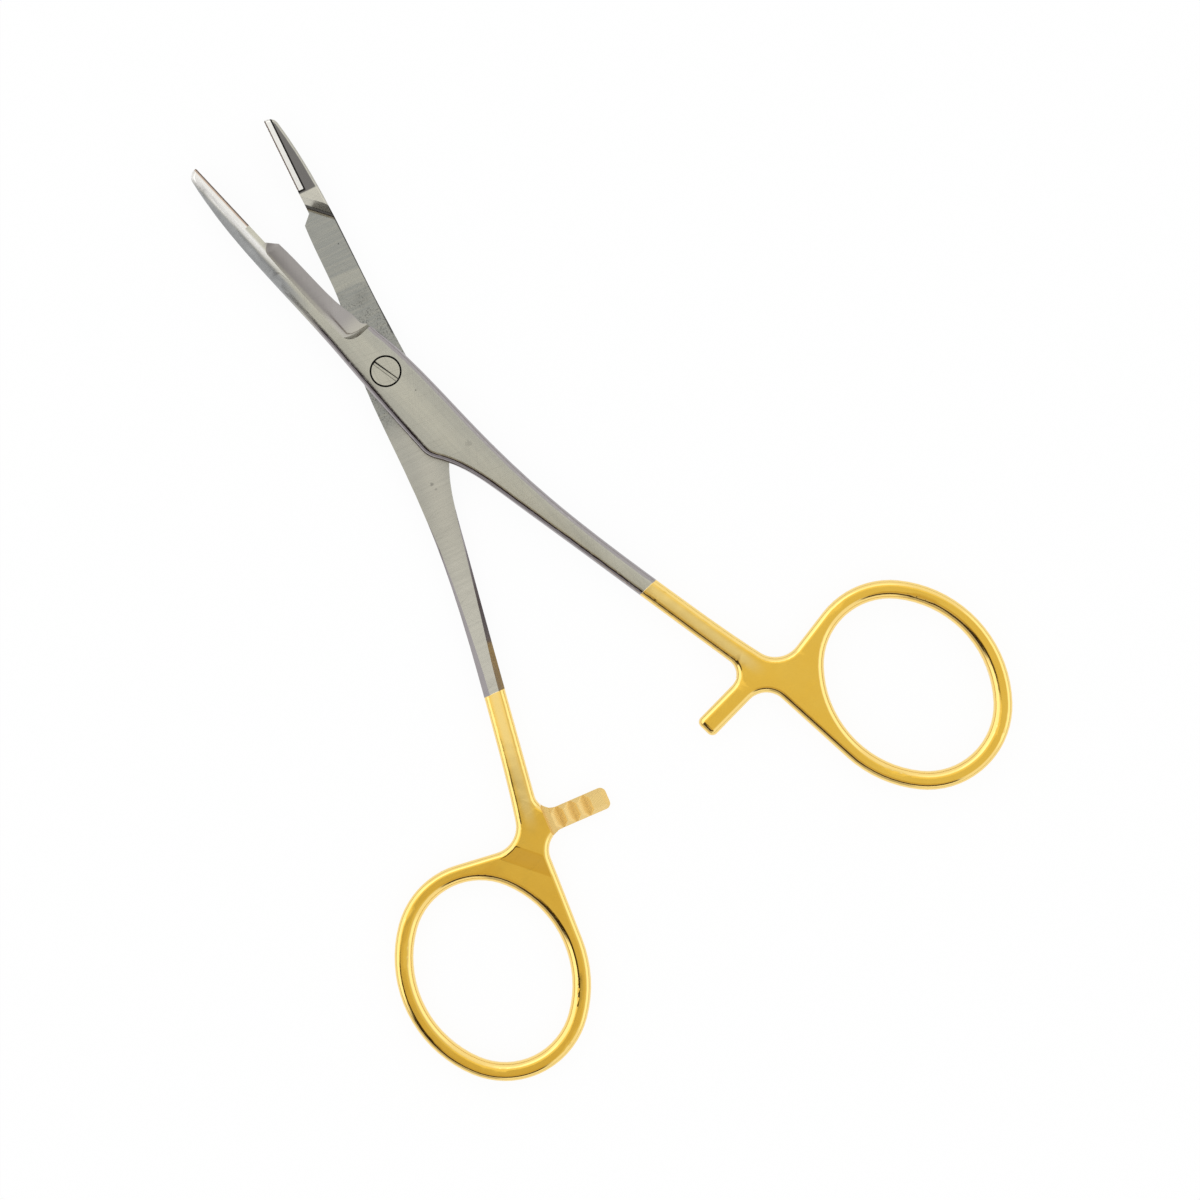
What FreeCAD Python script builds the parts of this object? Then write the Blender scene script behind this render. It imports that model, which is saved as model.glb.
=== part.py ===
"""Surgical needle holder with scissor blades behind the jaws.

Two matching forged arms cross in a lap joint and turn on a flush slotted screw. Each arm carries
a jaw with a cross-hatched hard-metal insert, a hollow-ground blade, half of the joint, a tapering
shank, a toothed ratchet bar and an oval finger ring.

The arm is drawn once, as the upper arm with the jaws shut: the pivot is at the origin, the jaws
point along +Y, the gripping faces lie on x = 0 and heights are measured from the lap plane. The
lower arm is the same forging turned over about Y. The instrument is stored lying on its joint,
opened by the rest angle, with its underside at z = 0.
"""

import FreeCAD, Part
import math
import os

V = FreeCAD.Vector

# Joint and screw
REST_OPENING = 17.0          # angle between the arms as stored, degrees
JOINT_HALF = 2.4             # thickness of one arm at the joint
LAP_GAP = 0.04               # running gap between the two lap faces
FACE_GAP = 0.05              # gap between the gripping faces with the jaws shut
SCREW_HEAD_RADIUS = 2.15
SCREW_HEAD_DEPTH = 1.3
SCREW_SHANK_RADIUS = 1.3
SCREW_CLEARANCE = 0.04       # radial, where the upper arm turns on the screw
SCREW_FIT = 0.01             # radial, where the screw is fixed in the lower arm
SCREW_CHAMFER = 0.1          # on the rims of the head and its seat
SLOT_WIDTH = 0.62
SLOT_DEPTH = 0.55
SLOT_ANGLE = -71.0           # direction of the driver slot from +X, degrees

# Jaw and insert
JAW_TIP = 39.85              # from the pivot to the tip
JAW_TIP_WIDTH = 1.5
JAW_TIP_HALF = 1.08          # half thickness of the jaw at its tip
JAW_HEEL = 8.0               # the outer face starts to fall towards the tip here
TIP_CORNER = 1.35
CROWN_START = 14.0           # the jaw's outer side is crowned: a tapering round that sinks in from here
CROWN_RISE = 0.25            # how far the round stands above the outer face at its start
CROWN_BACK = (-1.45, 4.5)    # place across the jaw and radius of the round at its start
CROWN_TIP = (-0.8, 1.9)      # the same at the tip
CROWN_FOOT = 0.3             # the round ends at this height
JAW_INNER_ROUND = 0.45       # along the back of the jaw's inner side
INSERT_HEEL = 28.6           # the insert runs from here to the tip
INSERT_THICKNESS = 0.9
HATCH_PITCH = 0.5            # between grooves, measured across them
HATCH_DEPTH = 0.2
HATCH_LAND = 0.08            # flat left on each crest
HATCH_ANGLE = 45.0

# Scissor blade
NOTCH = 25.2                 # base of the notch between jaw and blade
BLADE_FRONT = (1.28, 23.9)   # front corner of the blade
BLADE_EDGE = ((1.45, 17.0), (1.7, 11.4))
BLADE_HEEL = (3.0, 5.4)      # corner where the blade ends at the joint
BLADE_RUN_OUT = (3.5, 3.4)   # where the cut beside the blade leaves the forging
HEEL_BLEND = 15.0
EDGE_LAND = 0.12             # thickness left at the cutting edge
BEVEL_BACK = (6.3, 3.0)      # where the hollow bevel ends at the joint, and its width there
BEVEL_FRONT = (25.3, 2.2)    # where it ends at the notch, and its width there
BEVEL_RADIUS = 7.0           # of the hollow grinding
BEVEL_END_ROUND = 1.6
STEP_CORNER = (-3.07, 23.4)  # the jaw's full thickness starts at a slanting step
STEP_ANGLE = 44.0
STEP_RUN = 1.4               # length of the step's slope
STEP_ROUND = 1.0

# Shank
JOINT_FLAT_END = -18.0       # the outer face starts to fall towards the handle here
OUTER_FALL_END = -50.0
LAP_END = -24.5              # the inner face leaves the lap plane here
INNER_FALL_END = -60.0
HANDLE_HALF = 1.6            # half thickness of the handle
OUTER_EDGE = ((3.55, 1.0), (3.9, -12.9), (4.49, -25.7), (6.2, -38.6), (8.54, -51.4), (10.6, -61.5))
NECK_OUTER = (12.6, -69.3)   # corner between shank and ring, before its fillet
INNER_EDGE = ((5.3, -51.4), (2.11, -34.3), (0.47, -25.7), (-1.67, -17.1))
BACK_CORNER = (-3.95, -13.0)
BACK_EDGE = ((-3.6, 0.0), (-3.22, 10.0), (-3.14, 20.0), (-2.83, 30.0))
BACK_CORNER_ROUND = 4.0
EDGE_ROUND = 0.95            # along the outer face
PLATE_LINE = -48.1           # the handle is plated, and rounded all over, from here
INNER_ROUND = 0.9            # along the handle's inner face
RELIEF_START = -22.0         # widening chamfers run along the shank's inner face from here
RELIEF_LEG = 0.05            # their first width; they end as wide as the handle's rounding
RELIEF_SECTIONS = 4

# Finger ring, an oval of four arcs
RING_CENTRE = (24.0, -83.7)
RING_HALF_WIDTH = 10.9       # of the opening
RING_HALF_LENGTH = 13.4
RING_END_RADIUS = 9.4
RING_WIRE = 2.7
RING_HOLE_ROUND = 1.15
DISH_DEPTH = 0.5             # the ring's inner side lies this far below the shank's
DISH_START = (11.7, -70.5)   # middle of the shank's end, where the slope to the ring starts
DISH_ANGLE = -45.0           # the slope falls this way, degrees from +X
DISH_SLOPE = 2.4             # run of the slope
DISH_BLEND = 2.0             # radius that eases the slope in and out
NECK_OUTER_ROUND = 3.9
NECK_INNER_ROUND = 3.3

# Ratchet, each bar measured from its tip
BAR_TIP = (-1.75, -68.45)
BAR_SLANT = 2.6              # the bar falls back from the shank by this angle
BAR_WIDTH = 3.25
BAR_TIP_ROUND = 0.9
BAR_FRONT_ROUND = 2.3
BAR_LENGTH = 9.45            # of the toothed face
BAR_STEP = 0.2               # run of the steep face between the toothed face and the shank
NECK_INNER = 10.85           # corner between bar and ring, before its fillet
TOOTH_GAP = 0.1              # each bar stands this far back from the lap plane
TOOTH_PITCH = 2.07
TOOTH_COUNT = 3
TOOTH_DEPTH = 0.8
TOOTH_WALL = 0.85            # run of the steep side, which faces the shank
TOOTH_FLAT = 0.2             # flat on each crest
END_TOOTH = 2.5              # from the tip to the first notch
TOOTH_CHAMFER = 0.7          # on the toothed face's long edges and tip

# Worked out from the sizes above
LAP_FACE = LAP_GAP / 2
OUTER_FACE = LAP_FACE + JOINT_HALF
LAP_HEIGHT = OUTER_FACE      # of the lap plane over the table
GRIP = -FACE_GAP / 2
FAR = 60.0                   # longer than anything that it cuts
OVER = 1.0                   # how far a cutter runs past the face it starts from
NEAR = 0.01                  # two heights closer than this are the same


def flat(xy, z=0.0):
    return V(xy[0], xy[1], z)


def side(y, z):
    return V(0, y, z)


def unit(angle):
    return V(math.cos(math.radians(angle)), math.sin(math.radians(angle)), 0)


def line(a, b):
    return Part.LineSegment(a, b).toShape()


def arc(a, b, c):
    return Part.Arc(a, b, c).toShape()


def curve(points):
    """A smooth curve through the given points."""
    spline = Part.BSplineCurve()
    spline.interpolate(points)
    return spline.toShape()


def chain(points):
    """Straight edges from point to point."""
    return [line(a, b) for a, b in zip(points, points[1:])]


def prism(edges, way):
    return Part.Face(Part.Wire(edges)).extrude(way)


def block(points, way):
    return prism(chain(points + points[:1]), way)


def only(shape):
    """The one solid of a boolean's result."""
    return shape.Solids[0] if len(shape.Solids) == 1 else shape


def ring_oval(grow):
    """The ring's opening grown outwards: its arc centres and radii."""
    width = RING_HALF_WIDTH
    length = RING_HALF_LENGTH
    end = RING_END_RADIUS
    broad = (width ** 2 + length ** 2 - 2 * length * end) / (2 * (width - end))
    centre = flat(RING_CENTRE)
    return {
        "top": centre + V(0, length - end, 0),
        "bottom": centre - V(0, length - end, 0),
        "right": centre - V(broad - width, 0, 0),
        "left": centre + V(broad - width, 0, 0),
        "end": end + grow,
        "broad": broad + grow,
    }


def oval_joint(oval, end, flank):
    """Where an end arc of the oval runs into an arc of its flank."""
    way = (oval[end] - oval[flank]).normalize()
    return oval[flank] + way * oval["broad"]


def arc_about(centre, radius, a, b):
    """The shorter arc about a centre from a to b."""
    middle = ((a - centre) + (b - centre)).normalize() * radius
    return arc(a, centre + middle, b)


def ring_hole():
    """The edges of the finger ring's opening."""
    oval = ring_oval(0)
    top_right = oval_joint(oval, "top", "right")
    bottom_right = oval_joint(oval, "bottom", "right")
    bottom_left = oval_joint(oval, "bottom", "left")
    top_left = oval_joint(oval, "top", "left")
    return [
        arc(top_left, oval["top"] + V(0, oval["end"], 0), top_right),
        arc(top_right, oval["right"] + V(oval["broad"], 0, 0), bottom_right),
        arc(bottom_right, oval["bottom"] - V(0, oval["end"], 0), bottom_left),
        arc(bottom_left, oval["left"] - V(oval["broad"], 0, 0), top_left),
    ]


def touch(start, centre, radius, turn):
    """Where the line from start touches a circle; turn picks one of the two such points."""
    back = start - centre
    angle = math.atan2(back.y, back.x) + turn * math.acos(radius / back.Length)
    return centre + V(math.cos(angle), math.sin(angle), 0) * radius


def bar_frame():
    """The bar's tip, the direction to its root, and half its width towards the jaws."""
    along = unit(BAR_SLANT)
    return flat(BAR_TIP), along, V(-along.y, along.x, 0) * (BAR_WIDTH / 2)


def bar_front_corner():
    """Where the bar's front edge meets the shank's inner edge, carried on straight."""
    tip, along, half = bar_frame()
    shank = flat(INNER_EDGE[0]) - flat(INNER_EDGE[1])
    start = tip + half
    gap = flat(INNER_EDGE[0]) - start
    cross = along.x * shank.y - along.y * shank.x
    return start + along * ((gap.x * shank.y - gap.y * shank.x) / cross)


def plan_corners():
    """The plan's corners that are rounded, with their radii."""
    tip, along, half = bar_frame()
    return {
        "neck_outer": (flat(NECK_OUTER), NECK_OUTER_ROUND),
        "neck_inner": (tip - half + along * NECK_INNER, NECK_INNER_ROUND),
        "bar_tip_rear": (tip - half, BAR_TIP_ROUND),
        "bar_tip_front": (tip + half, BAR_TIP_ROUND),
        "bar_front": (bar_front_corner(), BAR_FRONT_ROUND),
        "back": (flat(BACK_CORNER), BACK_CORNER_ROUND),
        "jaw_tip": (V(-JAW_TIP_WIDTH, JAW_TIP, 0), TIP_CORNER),
        "heel": (flat(BLADE_HEEL), HEEL_BLEND),
    }


def plan_edges():
    """The forging's outline, with stock left beside the blade and sharp corners."""
    oval = ring_oval(RING_WIRE)
    at = {name: place for name, (place, radius) in plan_corners().items()}
    touch_top = touch(at["neck_outer"], oval["top"], oval["end"], -1)
    touch_left = touch(at["neck_inner"], oval["left"], oval["broad"], 1)
    top_right = oval_joint(oval, "top", "right")
    bottom_right = oval_joint(oval, "bottom", "right")
    bottom_left = oval_joint(oval, "bottom", "left")
    stock = V(at["heel"].x, NOTCH + OVER, 0)
    return [
        *chain([V(GRIP, JAW_TIP, 0), V(GRIP, NOTCH + OVER, 0), stock, at["heel"]]),
        curve([at["heel"], *map(flat, OUTER_EDGE), at["neck_outer"]]),
        line(at["neck_outer"], touch_top),
        arc_about(oval["top"], oval["end"], touch_top, top_right),
        arc_about(oval["right"], oval["broad"], top_right, bottom_right),
        arc(bottom_right, oval["bottom"] - V(0, oval["end"], 0), bottom_left),
        arc_about(oval["left"], oval["broad"], bottom_left, touch_left),
        *chain([touch_left, at["neck_inner"], at["bar_tip_rear"], at["bar_tip_front"], at["bar_front"]]),
        curve([at["bar_front"], *map(flat, INNER_EDGE), at["back"]]),
        curve([at["back"], *map(flat, BACK_EDGE), at["jaw_tip"]]),
        line(at["jaw_tip"], V(GRIP, JAW_TIP, 0)),
    ]


def outer_height(y):
    """Height of the outer face above the lap plane along the jaw."""
    fall = OUTER_FACE - JAW_TIP_HALF
    run = JAW_TIP - JAW_HEEL
    radius = (run ** 2 + fall ** 2) / (2 * fall)
    return OUTER_FACE - radius + math.sqrt(radius ** 2 - (y - JAW_HEEL) ** 2)


def s_bend(a, b):
    """Two equal tangent arcs in the side view that lead from one level to another."""
    middle = (a + b) * 0.5
    run = abs(middle.y - a.y)
    rise = middle.z - a.z
    radius = (run ** 2 + rise ** 2) / (2 * abs(rise))
    lift = math.copysign(radius - math.sqrt(radius ** 2 - (run / 2) ** 2), rise)
    first = arc(a, side((a.y + middle.y) / 2, a.z + lift), middle)
    return [first, arc(middle, side((b.y + middle.y) / 2, b.z - lift), b)]


def height_band():
    """Everything between the arm's outer and inner faces, seen from the side."""
    nose = JAW_TIP + OVER
    middle = (JAW_TIP + JAW_HEEL) / 2
    throat = (NOTCH + JAW_HEEL) / 2
    low_middle = (JAW_TIP + throat) / 2
    ring_end = RING_CENTRE[1] - RING_HALF_LENGTH - RING_WIRE - OVER
    edges = [
        line(side(nose, JAW_TIP_HALF), side(JAW_TIP, JAW_TIP_HALF)),
        arc(side(JAW_TIP, JAW_TIP_HALF), side(middle, outer_height(middle)), side(JAW_HEEL, OUTER_FACE)),
        line(side(JAW_HEEL, OUTER_FACE), side(JOINT_FLAT_END, OUTER_FACE)),
        *s_bend(side(JOINT_FLAT_END, OUTER_FACE), side(OUTER_FALL_END, HANDLE_HALF)),
        *chain([
            side(OUTER_FALL_END, HANDLE_HALF),
            side(ring_end, HANDLE_HALF),
            side(ring_end, -HANDLE_HALF),
            side(INNER_FALL_END, -HANDLE_HALF),
        ]),
        *s_bend(side(INNER_FALL_END, -HANDLE_HALF), side(LAP_END, LAP_FACE)),
        *chain([side(LAP_END, LAP_FACE), side(throat, LAP_FACE), side(throat, -outer_height(throat))]),
        arc(
            side(throat, -outer_height(throat)),
            side(low_middle, -outer_height(low_middle)),
            side(JAW_TIP, -JAW_TIP_HALF),
        ),
        *chain([side(JAW_TIP, -JAW_TIP_HALF), side(nose, -JAW_TIP_HALF), side(nose, JAW_TIP_HALF)]),
    ]
    band = prism(edges, V(2 * FAR, 0, 0))
    band.translate(V(-FAR, 0, 0))
    return band


def nearest_edge(solid, place):
    """The edge that passes closest to a point."""
    spot = Part.Vertex(place)
    return min(solid.Edges, key=lambda edge: edge.distToShape(spot)[0])


def round_corner(solid, place, radius):
    """Round the upright edge that stands on a corner of the plan."""
    upright = [edge for edge in solid.Edges if edge.BoundBox.XLength + edge.BoundBox.YLength < NEAR]
    spot = Part.Vertex(place)
    return solid.makeFillet(radius, [min(upright, key=lambda edge: edge.distToShape(spot)[0])])


def forging():
    """The arm before its joint, blade and teeth are cut."""
    solid = prism(plan_edges(), V(0, 0, 2 * OUTER_FACE))
    solid.translate(V(0, 0, -OUTER_FACE))
    for place, radius in plan_corners().values():
        solid = round_corner(solid, place, radius)
    solid = only(solid.common(height_band()))
    ring_foot = ring_oval(RING_WIRE)["bottom"] - V(0, RING_END_RADIUS + RING_WIRE, 0)
    # the rounding follows the whole outline from this one edge
    solid = solid.makeFillet(EDGE_ROUND, [nearest_edge(solid, ring_foot + V(0, 0, HANDLE_HALF))])
    middle = (JAW_TIP + NOTCH) / 2
    back = V(BACK_EDGE[-1][0], middle, -outer_height(middle))
    solid = solid.makeFillet(JAW_INNER_ROUND, [nearest_edge(solid, back)])
    return round_handle(only(solid.cut(jaw_crown())), ring_foot)


def jaw_crown():
    """What is ground off the jaw's outer side around a tapering round."""
    starts = V(CROWN_BACK[0], CROWN_START, outer_height(CROWN_START) + CROWN_RISE - CROWN_BACK[1])
    ends = V(CROWN_TIP[0], JAW_TIP, JAW_TIP_HALF - NEAR - CROWN_TIP[1])
    axis = ends - starts
    spare = axis * (OVER / axis.Length)
    taper = (CROWN_BACK[1] - CROWN_TIP[1]) * OVER / axis.Length
    length = axis.Length + 2 * OVER
    round_bar = Part.makeCone(CROWN_BACK[1] + taper, CROWN_TIP[1] - taper, length, starts - spare, axis)
    stock = Part.makeBox(FAR, JAW_TIP + OVER / 2 - CROWN_START, FAR, V(-FAR / 2, CROWN_START, CROWN_FOOT))
    return stock.cut(round_bar)


def half_space(y, way):
    """Everything on one side of a plane across the arm."""
    box = Part.makeBox(2 * FAR, 2 * FAR, 2 * FAR, V(-FAR, 0, -FAR))
    box.translate(V(0, y if way > 0 else y - 2 * FAR, 0))
    return box


def dish_slope():
    return unit(DISH_ANGLE) * DISH_SLOPE + V(0, 0, DISH_DEPTH)


def ring_dish():
    """What is taken off the ring's inner side, with the slope that leads up to the shank."""
    down = unit(DISH_ANGLE)
    across = V(-down.y, down.x, 0) * FAR
    start = flat(DISH_START, -HANDLE_HALF) - across * 0.5
    foot = start + dish_slope()
    return block([
        start - dish_slope(),
        foot,
        foot + down * FAR,
        foot + down * FAR - V(0, 0, 2 * DISH_DEPTH),
    ], across)


def round_handle(solid, ring_foot):
    """Shape the inner side from the plating line back, and open the ring."""
    front = only(solid.common(half_space(PLATE_LINE, 1)))
    handle = only(solid.common(half_space(PLATE_LINE, -1)).cut(ring_dish()))
    start = flat(DISH_START, -HANDLE_HALF)
    creases = [nearest_edge(handle, start), nearest_edge(handle, start + dish_slope())]
    handle = handle.makeFillet(DISH_BLEND, creases)
    ring_height = DISH_DEPTH - HANDLE_HALF
    handle = handle.makeFillet(INNER_ROUND, [nearest_edge(handle, ring_foot + V(0, 0, ring_height))])
    hole = prism(ring_hole(), V(0, 0, 2 * OUTER_FACE))
    hole.translate(V(0, 0, -OUTER_FACE))
    handle = only(handle.cut(hole))
    rim = ring_oval(0)["bottom"] - V(0, RING_END_RADIUS, 0)
    for height in (HANDLE_HALF, ring_height):
        handle = handle.makeFillet(RING_HOLE_ROUND, [nearest_edge(handle, rim + V(0, 0, height))])
    outer = curve([flat(BLADE_HEEL), *map(flat, OUTER_EDGE), flat(NECK_OUTER)])
    inner = curve([bar_front_corner(), *map(flat, INNER_EDGE), flat(BACK_CORNER)])
    front = only(front.cut([shank_relief(outer, 1), shank_relief(inner, -1)]))
    return only(front.fuse(handle))


def shank_relief(edge, hand):
    """A chamfer along one edge of the shank's inner face that widens towards the handle."""
    profile = s_bend(side(INNER_FALL_END, -HANDLE_HALF), side(LAP_END, LAP_FACE))
    sections = []
    for number in range(RELIEF_SECTIONS):
        share = number / (RELIEF_SECTIONS - 1)
        y = RELIEF_START + share * (PLATE_LINE - RELIEF_START)
        leg = RELIEF_LEG + share * (INNER_ROUND - RELIEF_LEG)
        x = cross_at(edge, y, "x")
        z = LAP_FACE if y > LAP_END else min(cross_at(e, y, "z") for e in profile if covers(e, y))
        sections.append(Part.makePolygon([
            V(x - 2 * hand * leg, y, z - leg),
            V(x + hand * leg, y, z + 2 * leg),
            V(x + hand * leg, y, z - leg),
            V(x - 2 * hand * leg, y, z - leg),
        ]))
    return Part.makeLoft(sections, True)


def covers(edge, y):
    return edge.BoundBox.YMin - NEAR <= y <= edge.BoundBox.YMax + NEAR


def cross_at(edge, y, axis):
    """The x or z at which an edge crosses a plane across the arm."""
    plane = Part.makePlane(4 * FAR, 4 * FAR, V(-2 * FAR, y, 2 * FAR), V(0, -1, 0))
    place = edge.distToShape(plane)[1][0][0]
    return getattr(place, axis)


def blade_trim():
    """The stock to take off beside the blade, past its cutting edge and notch."""
    past = flat(BLADE_RUN_OUT)
    edges = [
        curve([flat(BLADE_FRONT), *map(flat, BLADE_EDGE), flat(BLADE_HEEL), past]),
        *chain([
            past,
            V(FAR, past.y, 0),
            V(FAR, NOTCH + 2 * OVER, 0),
            V(GRIP, NOTCH + 2 * OVER, 0),
            V(GRIP, NOTCH, 0),
            flat(BLADE_FRONT),
        ]),
    ]
    stock = prism(edges, V(0, 0, 2 * FAR))
    stock.translate(V(0, 0, -FAR))
    return stock


def bevel_centre(y, width):
    """Centre of the hollow grinding's circle in the section across the blade at y."""
    front = flat(BLADE_FRONT)
    back = flat(BLADE_EDGE[-1])
    share = (y - back.y) / (front.y - back.y)
    edge = V(back.x + share * (front.x - back.x), y, LAP_FACE + EDGE_LAND)
    top = OUTER_FACE if y < JAW_HEEL else outer_height(y)
    ridge = V(edge.x - width, y, top)
    half = (ridge - edge) * 0.5
    reach = math.sqrt(BEVEL_RADIUS ** 2 - half.Length ** 2)
    outwards = V(half.z, 0, -half.x).normalize()
    return edge + half + outwards * reach


def bevel_grind():
    """The hollow grinding that thins the blade to its edge, rounded at both ends."""
    back = bevel_centre(*BEVEL_BACK)
    front = bevel_centre(*BEVEL_FRONT)
    axis = front - back
    wheel = Part.makeCylinder(BEVEL_RADIUS, axis.Length, back, axis)
    rims = [edge for edge in wheel.Edges if edge.Closed]
    return wheel.makeFillet(BEVEL_END_ROUND, rims)


def lap_recess():
    """What is milled from under the blade, up to the slanting step where the jaw starts."""
    along = unit(STEP_ANGLE)
    forward = V(-along.y, along.x, 0)
    start = flat(STEP_CORNER, LAP_FACE)
    slope = forward * STEP_RUN - V(0, 0, OUTER_FACE)
    bend = math.atan2(OUTER_FACE, STEP_RUN)
    length = STEP_ROUND * math.tan(bend / 2)
    down = slope * (1 / slope.Length)
    first = start - forward * length
    last = start + down * length
    middle = start + (down - forward) * (length / 2)
    inwards = (down - forward).normalize()
    sagitta = STEP_ROUND * (1 / math.cos(bend / 2) - 1)
    section = [
        line(start - forward * FAR / 3, first),
        arc(first, start + inwards * sagitta, last),
        *chain([
            last,
            start + slope * 2,
            start + slope * 2 - forward * FAR / 3,
            start - forward * FAR / 3,
        ]),
    ]
    cutter = prism(section, along * FAR)
    cutter.translate(along * (-FAR / 2))
    return cutter.common(half_space((NOTCH + JAW_HEEL) / 2 - OVER, 1))


def in_bar(s, across, z):
    """A point on the ratchet bar: s from its tip, across its width, z from the lap plane."""
    tip, along, half = bar_frame()
    return tip + along * s + half * (2 * across / BAR_WIDTH) + V(0, 0, z)


def bar_cutters():
    """What is cut from the bar's inner side: its flat, its notches and its chamfers."""
    wide = BAR_WIDTH
    across = in_bar(0, 2 * wide, 0) - in_bar(0, 0, 0)
    deep = TOOTH_GAP - 2 * HANDLE_HALF
    face = block([
        in_bar(-OVER, -wide, TOOTH_GAP),
        in_bar(BAR_LENGTH - BAR_STEP, -wide, TOOTH_GAP),
        in_bar(BAR_LENGTH + BAR_STEP, -wide, deep),
        in_bar(-OVER, -wide, deep),
    ], across)
    cutters = [face]
    ramp = TOOTH_PITCH - TOOTH_WALL - TOOTH_FLAT
    for tooth in range(TOOTH_COUNT):
        crest = END_TOOTH + tooth * TOOTH_PITCH
        cutters.append(block([
            in_bar(crest, -wide, TOOTH_GAP),
            in_bar(crest + TOOTH_WALL, -wide, TOOTH_GAP + TOOTH_DEPTH),
            in_bar(crest + TOOTH_WALL + ramp, -wide, TOOTH_GAP),
            in_bar(crest + TOOTH_WALL, -wide, TOOTH_GAP - OVER),
        ], across))
    rail = END_TOOTH + TOOTH_COUNT * TOOTH_PITCH - TOOTH_FLAT
    for hand in (-1, 1):
        cutters.append(block([
            in_bar(-OVER, hand * (wide / 2 - TOOTH_CHAMFER - OVER), TOOTH_GAP - OVER),
            in_bar(-OVER, hand * (wide / 2 + OVER), TOOTH_GAP + TOOTH_CHAMFER + OVER),
            in_bar(-OVER, hand * (wide / 2 + OVER), TOOTH_GAP - OVER),
        ], in_bar(rail + OVER, 0, 0) - in_bar(0, 0, 0)))
    cutters.append(block([
        in_bar(TOOTH_CHAMFER + OVER, -wide, TOOTH_GAP - OVER),
        in_bar(-OVER, -wide, TOOTH_GAP + TOOTH_CHAMFER + OVER),
        in_bar(-OVER, -wide, TOOTH_GAP - OVER),
    ], across))
    return cutters


def insert_block():
    """The space that the insert fills, from its heel past the tip and through the jaw."""
    size = V(INSERT_THICKNESS + GRIP, JAW_TIP - INSERT_HEEL + OVER, 2 * OUTER_FACE)
    return Part.makeBox(size.x, size.y, size.z, V(-INSERT_THICKNESS, INSERT_HEEL, -OUTER_FACE))


def hatching(turn):
    """One set of slanting grooves across the gripping face."""
    way = side(math.cos(math.radians(HATCH_ANGLE)), turn * math.sin(math.radians(HATCH_ANGLE)))
    normal = side(-way.z, way.y)
    width = (HATCH_PITCH - HATCH_LAND) / 2
    spread = (1 + OVER / HATCH_DEPTH) * width
    step = HATCH_PITCH / abs(normal.y)
    reach = OUTER_FACE / abs(way.z)
    grooves = []
    for number in range(int((JAW_TIP - INSERT_HEEL + 2 * OUTER_FACE) / step) + 1):
        middle = V(GRIP, INSERT_HEEL - OUTER_FACE + number * step, 0) - way * reach
        grooves.append(block([
            middle - V(HATCH_DEPTH, 0, 0),
            middle + V(OVER, 0, 0) + normal * spread,
            middle + V(OVER, 0, 0) - normal * spread,
        ], way * (2 * reach)))
    return Part.makeCompound(grooves)


def jaw_insert(forged):
    """The hard-metal gripping plate, flush with the jaw all round, with its hatched face."""
    plate = only(forged.common(insert_block()))
    for turn in (-1, 1):
        plate = plate.cut(hatching(turn))
    return only(plate)


def arm(forged, screw_hole):
    """One finished arm with the given hole for the screw."""
    solid = forged.cut([blade_trim(), lap_recess(), bevel_grind(), insert_block(), screw_hole])
    for cutter in bar_cutters():
        solid = solid.cut(cutter)
    return only(solid)


def drum(radius, low, high):
    return Part.makeCylinder(radius, high - low, V(0, 0, low))


def rim_cone(radius, top, leg):
    """A cone that breaks a hole's rim at the given height."""
    return Part.makeCone(radius, radius + 2 * leg, 2 * leg, V(0, 0, top - leg))


def screw_seat():
    """The upper arm's hole: a seat for the head and a running hole for the shank."""
    seat = drum(SCREW_HEAD_RADIUS + SCREW_CLEARANCE, OUTER_FACE - SCREW_HEAD_DEPTH, OUTER_FACE + OVER)
    hole = drum(SCREW_SHANK_RADIUS + SCREW_CLEARANCE, -OVER, OUTER_FACE)
    rim = rim_cone(SCREW_HEAD_RADIUS + SCREW_CLEARANCE, OUTER_FACE, SCREW_CHAMFER / 2)
    return seat.fuse([hole, rim])


def screw_thread_hole():
    """The lower arm's plain through hole, where the screw's thread is fixed."""
    return drum(SCREW_SHANK_RADIUS + SCREW_FIT, -OVER, OUTER_FACE + OVER)


def screw():
    """The pivot screw, its head flush with the upper arm and its end flush with the lower."""
    head_seat = OUTER_FACE - SCREW_HEAD_DEPTH + LAP_GAP / 2
    shank = drum(SCREW_SHANK_RADIUS, -OUTER_FACE, head_seat)
    head = drum(SCREW_HEAD_RADIUS, head_seat, OUTER_FACE)
    rim = [edge for edge in head.Edges if edge.Closed and edge.BoundBox.ZMin > OUTER_FACE - NEAR]
    head = head.makeChamfer(SCREW_CHAMFER, rim)
    corner = V(-FAR, -SLOT_WIDTH / 2, OUTER_FACE - SLOT_DEPTH)
    slot = Part.makeBox(2 * FAR, SLOT_WIDTH, SLOT_DEPTH + OVER, corner)
    slot.rotate(V(0, 0, 0), V(0, 0, 1), SLOT_ANGLE)
    return only(head.fuse(shank).removeSplitter().cut(slot))


def placed(shape, lower):
    """A piece moved from the drawing of the shut upper arm to its place at rest."""
    shape = shape.copy()
    if lower:
        shape.rotate(V(0, 0, 0), V(0, 1, 0), 180)
    shape.rotate(V(0, 0, 0), V(0, 0, 1), -REST_OPENING / 2 if lower else REST_OPENING / 2)
    shape.translate(V(0, 0, LAP_HEIGHT))
    return shape


def build():
    forged = forging()
    upper = arm(forged, screw_seat())
    lower = arm(forged, screw_thread_hole())
    insert = jaw_insert(forged)
    pin = screw()
    pin.translate(V(0, 0, LAP_HEIGHT))
    return {
        "upper_arm": placed(upper, False),
        "lower_arm": placed(lower, True),
        "pivot_screw": pin,
        "upper_jaw_insert": placed(insert, False),
        "lower_jaw_insert": placed(insert, True),
    }


os.makedirs("parts", exist_ok=True)
for node, shape in build().items():
    shape.exportStep(f"parts/{node}.step")
    print(node, shape.ShapeType, shape.isValid(), round(shape.Volume, 2), "mm3", len(shape.Faces), "faces")
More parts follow.
